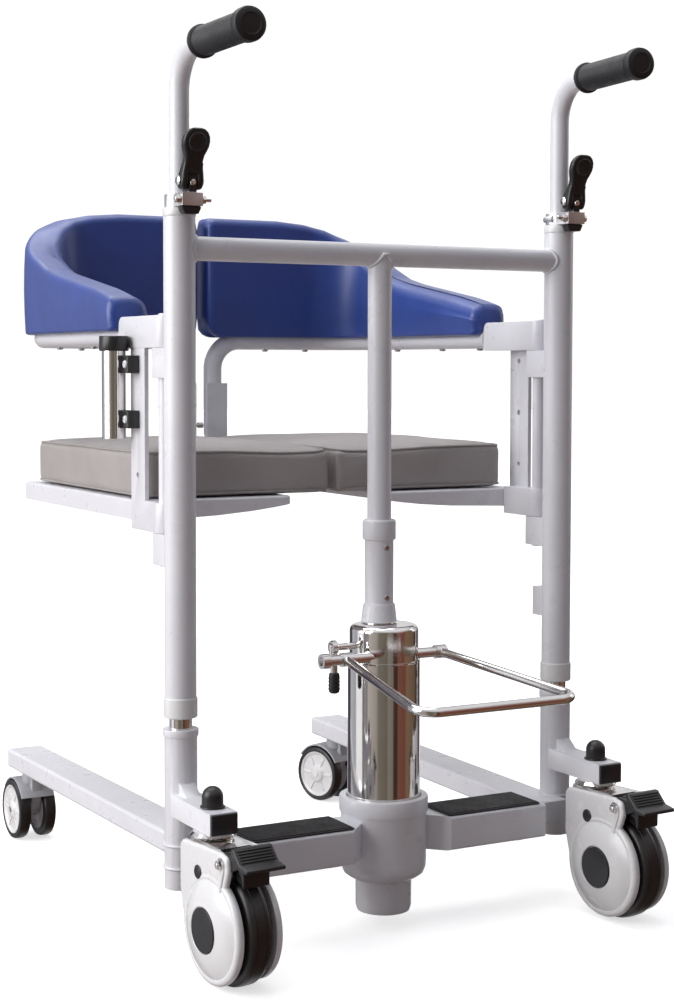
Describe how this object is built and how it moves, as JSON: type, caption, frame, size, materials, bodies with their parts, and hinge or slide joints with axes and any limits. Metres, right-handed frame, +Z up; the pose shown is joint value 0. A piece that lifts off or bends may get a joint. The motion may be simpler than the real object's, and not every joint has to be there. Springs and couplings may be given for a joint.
{
  "type": "hydraulic patient transfer lift chair",
  "caption": "Wheeled transfer lift chair with a hydraulic column, telescoping posts, a split seat that opens sideways, a foam back and arms, push handles and braked casters.",
  "frame": {"origin": "on the floor, midway between the axes of the two telescoping posts", "axes": "+X from the left post to the right post as the carer sees them, +Y from the push handles towards the backrest, +Z up"},
  "size_m": [0.5875, 0.8594, 1.001],
  "materials": {
    "white_paint": "powder coat, satin",
    "white_plastic": "moulded, satin gloss",
    "grey_plastic": "moulded grey",
    "chrome": "polished chrome plate",
    "zinc_steel": "zinc plated",
    "black_plastic": "moulded black",
    "black_rubber": "ribbed black rubber",
    "tyre": "smooth elastic tread",
    "blue_foam": "self-skinned polyurethane foam, fine grain",
    "grey_vinyl": "coated upholstery cloth, sewn edges"
  },
  "bodies": {
    "base": {"base_crossbar": "white_paint", "left_leg": "white_paint", "right_leg": "white_paint", "leg_end_caps": "white_plastic", "left_upright": "white_paint", "right_upright": "white_paint", "arm_end_caps": "black_plastic", "stem_caps": "black_plastic", "step_pads": "black_rubber", "guide_tubes": "chrome", "pump_housing": "white_paint", "pump_cylinder": "chrome", "pump_cap": "chrome"},
    "lift_frame": {"piston_rod": "chrome", "left_post": "white_paint", "right_post": "white_paint", "post_collars": "white_plastic", "upper_crossbar": "white_paint", "mast_tube": "white_paint", "mast_sleeve": "white_paint", "sleeve_screws": "zinc_steel", "hinge_blocks": "white_paint", "hinge_pins": "white_paint", "clamp_collars": "white_plastic", "clamp_bands": "chrome"},
    "pedal": {"foot_pedal": "chrome"},
    "release": {"release_lever": "chrome"},
    "latch": {"seat_latch": "zinc_steel"},
    "left_push_handle": {"left_handle": "white_paint", "left_grip": "black_rubber"},
    "left_lever": {"left_clamp_lever": "black_plastic"},
    "left_seat_half": {"left_side_plate": "white_paint", "left_back_rail": "white_paint", "left_seat_pan": "white_paint", "left_cushion": "grey_vinyl", "left_foam_back": "blue_foam", "pole_tube": "chrome", "pole_cap": "black_plastic", "pole_clips": "black_plastic"},
    "left_rear_caster": {"left_rear_fork": "chrome", "left_rear_covers": "white_plastic"},
    "left_rear_roller": {"left_rear_wheel": "tyre"},
    "left_brake": {"left_brake_pedal": "black_plastic"},
    "left_front_caster": {"left_front_fork": "grey_plastic"},
    "left_front_roller": {"left_front_wheels": "tyre"},
    "right_push_handle": {"right_handle": "white_paint", "right_grip": "black_rubber"},
    "right_lever": {"right_clamp_lever": "black_plastic"},
    "right_seat_half": {"right_side_plate": "white_paint", "right_back_rail": "white_paint", "right_seat_pan": "white_paint", "right_cushion": "grey_vinyl", "right_foam_back": "blue_foam"},
    "right_rear_caster": {"right_rear_fork": "chrome", "right_rear_covers": "white_plastic"},
    "right_rear_roller": {"right_rear_wheel": "tyre"},
    "right_brake": {"right_brake_pedal": "black_plastic"},
    "right_front_caster": {"right_front_fork": "grey_plastic"},
    "right_front_roller": {"right_front_wheels": "tyre"}
  },
  "joints": [
    {"name": "lift", "type": "slide", "parent": "base", "child": "lift_frame", "axis": [0, 0, 1], "range_m": [0, 0.2]},
    {"name": "foot_pedal_stroke", "type": "hinge", "parent": "base", "child": "pedal", "pos_m": [0, -0.034, 0.314], "axis": [1, 0, 0], "range_deg": [0, 25], "stiffness_Nm_per_rad": 2.5, "springref_deg": -28.65},
    {"name": "release_lever_turn", "type": "hinge", "parent": "base", "child": "release", "pos_m": [-0.05, -0.012, 0.325], "axis": [1, 0, 0], "range_deg": [-25, 25], "stiffness_Nm_per_rad": 0.2},
    {"name": "latch_pull", "type": "slide", "parent": "left_seat_half", "child": "latch", "axis": [-1, 0, 0], "range_m": [0, 0.01], "stiffness_N_per_m": 300, "springref_m": -0.01},
    {"name": "left_seat_open", "type": "hinge", "parent": "lift_frame", "child": "left_seat_half", "pos_m": [-0.25, 0.04, 0.48], "axis": [0, 0, 1], "range_deg": [0, 100]},
    {"name": "left_handle_height", "type": "slide", "parent": "lift_frame", "child": "left_push_handle", "axis": [0, 0, 1], "range_m": [-0.03, 0.09]},
    {"name": "left_lever_flip", "type": "hinge", "parent": "lift_frame", "child": "left_lever", "pos_m": [-0.25, -0.028, 0.841], "axis": [1, 0, 0], "range_deg": [0, 75]},
    {"name": "left_rear_swivel", "type": "hinge", "parent": "base", "child": "left_rear_caster", "pos_m": [-0.25, -0.083, 0.147], "axis": [0, 0, 1], "range_deg": [-130, 60]},
    {"name": "left_rear_roll", "type": "hinge", "parent": "left_rear_caster", "child": "left_rear_roller", "pos_m": [-0.24671, -0.12487, 0.0625], "axis": [0.9969, 0.0785, 0], "continuous": true},
    {"name": "left_brake_press", "type": "hinge", "parent": "left_rear_caster", "child": "left_brake", "pos_m": [-0.24482, -0.1488, 0.136], "axis": [0.9969, 0.0785, 0], "range_deg": [0, 11]},
    {"name": "left_front_swivel", "type": "hinge", "parent": "base", "child": "left_front_caster", "pos_m": [-0.235, 0.536, 0.09], "axis": [0, 0, 1], "continuous": true},
    {"name": "left_front_roll", "type": "hinge", "parent": "left_front_caster", "child": "left_front_roller", "pos_m": [-0.235, 0.552, 0.04], "axis": [1, 0, 0], "continuous": true},
    {"name": "right_seat_open", "type": "hinge", "parent": "lift_frame", "child": "right_seat_half", "pos_m": [0.25, 0.04, 0.48], "axis": [0, 0, -1], "range_deg": [0, 100]},
    {"name": "right_handle_height", "type": "slide", "parent": "lift_frame", "child": "right_push_handle", "axis": [0, 0, 1], "range_m": [-0.03, 0.09]},
    {"name": "right_lever_flip", "type": "hinge", "parent": "lift_frame", "child": "right_lever", "pos_m": [0.25, -0.028, 0.841], "axis": [1, 0, 0], "range_deg": [0, 75]},
    {"name": "right_rear_swivel", "type": "hinge", "parent": "base", "child": "right_rear_caster", "pos_m": [0.25, -0.083, 0.147], "axis": [0, 0, 1], "range_deg": [-60, 130]},
    {"name": "right_rear_roll", "type": "hinge", "parent": "right_rear_caster", "child": "right_rear_roller", "pos_m": [0.25329, -0.12487, 0.0625], "axis": [0.9969, 0.0785, 0], "continuous": true},
    {"name": "right_brake_press", "type": "hinge", "parent": "right_rear_caster", "child": "right_brake", "pos_m": [0.25518, -0.1488, 0.136], "axis": [0.9969, 0.0785, 0], "range_deg": [0, 11]},
    {"name": "right_front_swivel", "type": "hinge", "parent": "base", "child": "right_front_caster", "pos_m": [0.235, 0.536, 0.09], "axis": [0, 0, 1], "continuous": true},
    {"name": "right_front_roll", "type": "hinge", "parent": "right_front_caster", "child": "right_front_roller", "pos_m": [0.23032, 0.5513, 0.04], "axis": [0.9563, 0.2924, 0], "continuous": true}
  ]
}
